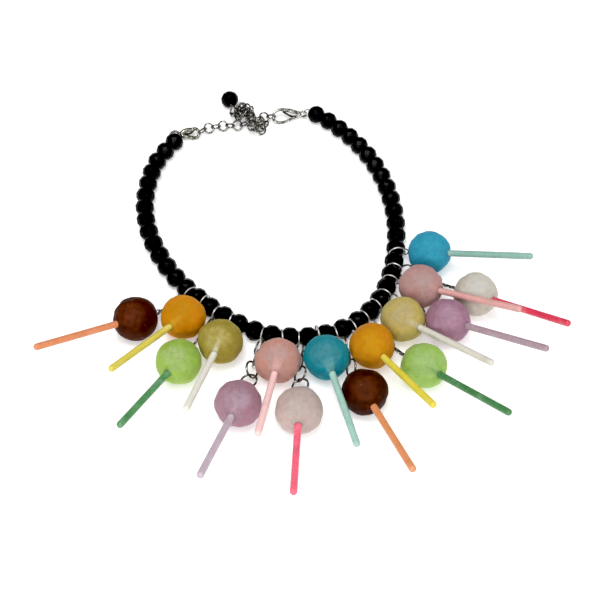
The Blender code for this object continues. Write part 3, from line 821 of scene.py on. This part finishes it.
chain_plate = plated("chain_plate", "94918b", "161513")
for name, points in LENGTHS.items():
    route = Route([on_plan(x, y, z * MM) for x, y, z in points])
    count = round(route.length / (2 * (LINK_RADIUS - LINK_WIRE) + BITE / 2))
    joints = [route.at(route.length * i / count) for i in range(count + 1)]
    radius = route.length / count / 2 + LINK_WIRE
    linked = bmesh.new()
    for i, (start, end) in enumerate(zip(joints, joints[1:])):
        link = frame_along(end - start, (start + end) / 2, LINK_ROLLS[i % 2])
        sawn_ring(linked, link, radius, LINK_WIRE, LINK_SEAM, LINK_BROAD)
    piece = make_piece(name, linked, chain_plate)
    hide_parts("extender_chain")

# The drop: one more glass bead, on a short pin that ends the tail of the chain. One end of the pin shows
# under the bead, and the other is turned into a loop through the last link.
DROP_PLACE = (-34.2, 139.0)
DROP_HEADING = Vector((-0.2, 1.0, 0.0))
HEAD_OUT = 0.25 * MM
NECK_OUT = 0.2 * MM
LOOP_OUT = 1.25 * MM
LOOP_RADIUS = 0.9 * MM
LOOP_STEPS = 14
LOOP_START = -20
LOOP_SWEEP = 320

drop_frame = frame_along(DROP_HEADING, on_plan(*DROP_PLACE, STRING_HEIGHT), 0.0)
shape = faceted_bead(bead_draw)
bmesh.ops.transform(shape, matrix=drop_frame, verts=shape.verts)
piece = make_piece("drop_bead_glass", shape, black_glass, smooth_angle=30.0)
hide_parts("drop_bead")
pin_line = [Vector((BEAD_END + HEAD_OUT, 0, 0)), Vector((0, 0, 0)), Vector((-BEAD_END - NECK_OUT, 0, 0))]
for i in range(LOOP_STEPS + 1):
    turn = math.radians(LOOP_START + LOOP_SWEEP * i / LOOP_STEPS)
    along = -BEAD_END - LOOP_OUT + LOOP_RADIUS * math.cos(turn)
    pin_line.append(Vector((along, LOOP_RADIUS * math.sin(turn), 0)))
pinned = bmesh.new()
bend_wire(pinned, [drop_frame @ point for point in pin_line], [PIN_WIRE] * len(pin_line), sides=10)
piece = make_piece("drop_pin", pinned, pin_plate)

# The lobster clasps: cast in one piece and plated. Each hoop runs from its tail round the hook and back
# below, with a sprung lever that shuts its mouth. A ring through the tail takes the end of the string.
SMALL_FRAME = ((-55.6, 115.6, 2.6), (-48.0, 117.4, 2.4), 38.0)
LARGE_FRAME = ((0.7, 131.1, 3.0), (-13.15, 128.0, 2.8), -38.0)

# The hoops, as (along, across, radius), and the levers, as (along, across), in mm from the middle.
SMALL_HOOP = (
    (-4.4, 0.6, 1.05), (-3.0, 1.5, 1.1), (-1.0, 1.9, 1.0), (1.0, 1.85, 0.9), (2.7, 1.9, 0.8),
    (3.8, 0.7, 0.65), (3.7, -1.1, 0.7), (2.5, -2.3, 0.85), (0.8, -2.25, 0.95), (-0.9, -1.6, 0.95),
    (-2.5, -1.1, 1.0), (-4.1, -0.5, 1.0),
)
SMALL_LEVER = ((-3.8, 0.3), (-2.0, 0.1), (-0.3, 0.2), (1.0, 0.8), (1.7, 1.5))
LARGE_HOOP = (
    (-6.3, 0.7, 0.8), (-5.2, 0.1, 0.9), (-3.5, -0.6, 1.0), (-1.7, -1.4, 1.0), (0.2, -2.1, 0.85),
    (2.5, -2.65, 0.72), (4.7, -2.4, 0.62), (6.3, -1.3, 0.58), (6.9, 0.4, 0.58), (6.6, 2.0, 0.62),
    (5.0, 3.2, 0.68), (2.7, 3.5, 0.68), (0.2, 3.0, 0.58), (-2.4, 2.3, 0.52), (-4.5, 1.8, 0.52),
    (-5.9, 1.3, 0.6),
)
LARGE_LEVER = ((-4.6, 1.75), (-2.8, 1.6), (-1.3, 0.95), (0.2, -0.3), (1.6, -1.4))
HOOP_STEPS = 6
HOOP_SIDES = 16
LEVER_RADIUS = 0.52 * MM

# The ring through each tail, as its middle and its two half sizes in mm.
TAIL_EYES = ((-5.3, 0.2, 1.2, 0.8), (-7.7, 1.1, 1.6, 1.2))
TAIL_EYE_WIRE = 0.45 * MM
EYE_TURNS = 20

small_plate = plated("small_clasp_plate", "b0aea2", "33322c")
large_plate = plated("large_clasp_plate", "bebcb5", "3a3934")
lever_plate = plated("lever_plate", "3c3b37", "100f0d")


def oval_eye(shape, placed, middle, across, high, wire):
    """Adds a closed oval of round wire, its middle and its two half sizes given in mm."""
    points = []
    for i in range(EYE_TURNS):
        turn = math.tau * i / EYE_TURNS
        flat = ((middle[0] + across * math.cos(turn)) * MM, (middle[1] + high * math.sin(turn)) * MM)
        points.append(placed @ Vector((*flat, 0)))
    bend_wire(shape, points, [wire] * EYE_TURNS, closed=True)


for name, plate, (tail, hook, roll), hoop_line, lever_line, eye_at in (
    ("small_clasp", small_plate, SMALL_FRAME, SMALL_HOOP, SMALL_LEVER, TAIL_EYES[0]),
    ("large_clasp", large_plate, LARGE_FRAME, LARGE_HOOP, LARGE_LEVER, TAIL_EYES[1]),
):
    tail = on_plan(tail[0], tail[1], tail[2] * MM)
    hook = on_plan(hook[0], hook[1], hook[2] * MM)
    placed = frame_along(hook - tail, (hook + tail) / 2, roll)
    closed = [*hoop_line, hoop_line[0]]
    line = smooth_line([Vector(point) * MM for point in closed], HOOP_STEPS)[:-1]
    hoop = bmesh.new()
    middles = [placed @ Vector((point.x, point.y, 0)) for point in line]
    bend_wire(hoop, middles, [point.z for point in line], closed=True, sides=HOOP_SIDES)
    oval_eye(hoop, placed, eye_at[:2], *eye_at[2:], TAIL_EYE_WIRE)
    piece = make_piece(f"{name}_hoop", hoop, plate)
    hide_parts(name)
    bar_line = smooth_line([Vector((x * MM, y * MM, 0)) for x, y in lever_line], HOOP_STEPS)
    bar = bmesh.new()
    bend_wire(bar, [placed @ point for point in bar_line], [LEVER_RADIUS] * len(bar_line), sides=10)
    piece = make_piece(f"{name}_lever", bar, lever_plate)

# The string's ends: at the large clasp the wire ends in a small ring through the clasp's tail. At the
# small one its cut end curls up beside the last bead, and by a charm a thin snipped end shows.
END_RING_PLACE = (3.4, 129.5, 3.9)
END_RING_WAY = Vector((1, 0.2, 0))
END_RING_ROLL = 60.0
END_RING_RADIUS = 1.55 * MM
END_RING_SEAM = 200.0
END_WIRE = 0.22 * MM
CURL_STEPS = 6

# Each loose end's name, the radius of its wire, and the points it passes, in mm.
LOOSE_ENDS = (
    ("tail_curl", 0.6, (
        (-61.2, 113.5, 4.6), (-60.3, 114.9, 4.7), (-59.1, 115.7, 4.7), (-57.7, 115.2, 4.5),
        (-56.8, 114.2, 4.2),
    )),
    ("snipped_end", 0.23, (
        (8.2, -4.0, 6.6), (7.6, -3.6, 7.1), (7.1, -4.4, 7.2), (7.0, -5.2, 6.9), (7.3, -5.9, 6.4),
        (7.7, -6.2, 5.9),
    )),
)

x, y, z = END_RING_PLACE
loop = bmesh.new()
laid = frame_along(END_RING_WAY, on_plan(x, y, z * MM), END_RING_ROLL)
sawn_ring(loop, laid, END_RING_RADIUS, END_WIRE, END_RING_SEAM)
make_piece("end_ring", loop, chain_plate)
for name, wire, points in LOOSE_ENDS:
    curl = bmesh.new()
    line = smooth_line([on_plan(x, y, z * MM) for x, y, z in points], CURL_STEPS)
    bend_wire(curl, line, [wire * MM] * len(line))
    make_piece(name, curl, chain_plate)

# The table: a plain sheet of matt white card, far larger than the necklace. It gives off a little light,
# which keeps it as pale as in the photograph.
TABLE_SIDE = 3.0

paper, tree, shader = new_material("white_table", roughness=0.7)
where = add_node(tree, "ShaderNodeTexCoord").outputs["Object"]
fibre = add_node(tree, "ShaderNodeTexNoise", {"Vector": where, "Scale": 60.0, "Detail": 3.0}).outputs[0]
white = mix_colour(tree, fibre, (0.86, 0.86, 0.86, 1.0), (0.9, 0.9, 0.9, 1.0))
tree.links.new(white, shader.inputs["Base Color"])
shader.inputs["Specular IOR Level"].default_value = 0.1
shader.inputs["Emission Color"].default_value = (1.0, 1.0, 1.0, 1.0)
shader.inputs["Emission Strength"].default_value = 0.36
sheet = bmesh.new()
bmesh.ops.create_grid(sheet, x_segments=4, y_segments=4, size=TABLE_SIDE / 2)
table_mesh = bpy.data.meshes.new("table_top")
sheet.to_mesh(table_mesh)
sheet.free()
table_mesh.materials.append(paper)
table = bpy.data.objects.new("table_top", table_mesh)
bpy.context.scene.collection.objects.link(table)

# The light: one soft box overhead, one low in front, a weaker one at the side and a small bright lamp,
# in a room that is pale above and dim all round. The colours are shown without a film look.
ROOM_DARK = 0.05
ROOM_BRIGHT = 0.8
ROOM_TOP = (0.0, -0.3, 0.95)
PALE_FROM = 0.45
PALE_TO = 0.85
BLACK_LEVEL = 0.008

# Each lamp's name, place and size in metres, and power in watts. All point at the necklace's middle.
LIGHTS = (
    ("overhead_box", (-0.1, -0.15, 0.8), (0.35, 0.35), 3.3),
    ("front_box", (-0.25, -0.95, 0.5), (0.6, 0.5), 3.6),
    ("side_box", (0.8, -0.1, 0.5), (0.6, 0.6), 1.4),
    ("bright_lamp", (0.25, -0.3, 0.8), (0.03, 0.03), 0.25),
)
for name, place, size, power in LIGHTS:
    lamp = bpy.data.lights.new(name, "AREA")
    lamp.shape = "RECTANGLE"
    lamp.size, lamp.size_y = size
    lamp.energy = power
    light = bpy.data.objects.new(name, lamp)
    light.location = place
    light.rotation_euler = (-Vector(place)).to_track_quat("-Z", "Y").to_euler()
    bpy.context.scene.collection.objects.link(light)

room = bpy.data.worlds.new("room")
room.use_nodes = True
tree = room.node_tree
way = add_node(tree, "ShaderNodeTexCoord").outputs["Generated"]
upwards = {0: way, 1: Vector(ROOM_TOP).normalized()}
height = add_node(tree, "ShaderNodeVectorMath", upwards, operation="DOT_PRODUCT")
glow = map_value(tree, height.outputs["Value"], PALE_FROM, PALE_TO, ROOM_DARK, ROOM_BRIGHT)
tree.links.new(glow, tree.nodes["Background"].inputs["Strength"])
tree.nodes["Background"].inputs["Color"].default_value = (1.0, 1.0, 1.0, 1.0)
bpy.context.scene.world = room
shown = bpy.context.scene.view_settings
shown.view_transform = "Standard"
shown.use_curve_mapping = True
shown.curve_mapping.black_level = (BLACK_LEVEL, BLACK_LEVEL, BLACK_LEVEL)
shown.curve_mapping.update()

# The camera: looking down on the necklace from the side of the charms, as in the photograph. Its place
# is in mm on the plan, and its tilt in degrees from straight down.
CAMERA_PLACE = (0.0, -247.05, 342.06)
CAMERA_TILT = 37.82
CAMERA_LENS = 62.088

eye_lens = bpy.data.cameras.new("camera")
eye_lens.lens = CAMERA_LENS
eye_lens.sensor_width = 36.0
eye_lens.clip_start = 0.01
camera = bpy.data.objects.new("camera", eye_lens)
camera.location = on_plan(CAMERA_PLACE[0], CAMERA_PLACE[1], CAMERA_PLACE[2] * MM)
camera.rotation_euler = (math.radians(CAMERA_TILT), 0.0, 0.0)
bpy.context.scene.collection.objects.link(camera)
bpy.context.scene.camera = camera
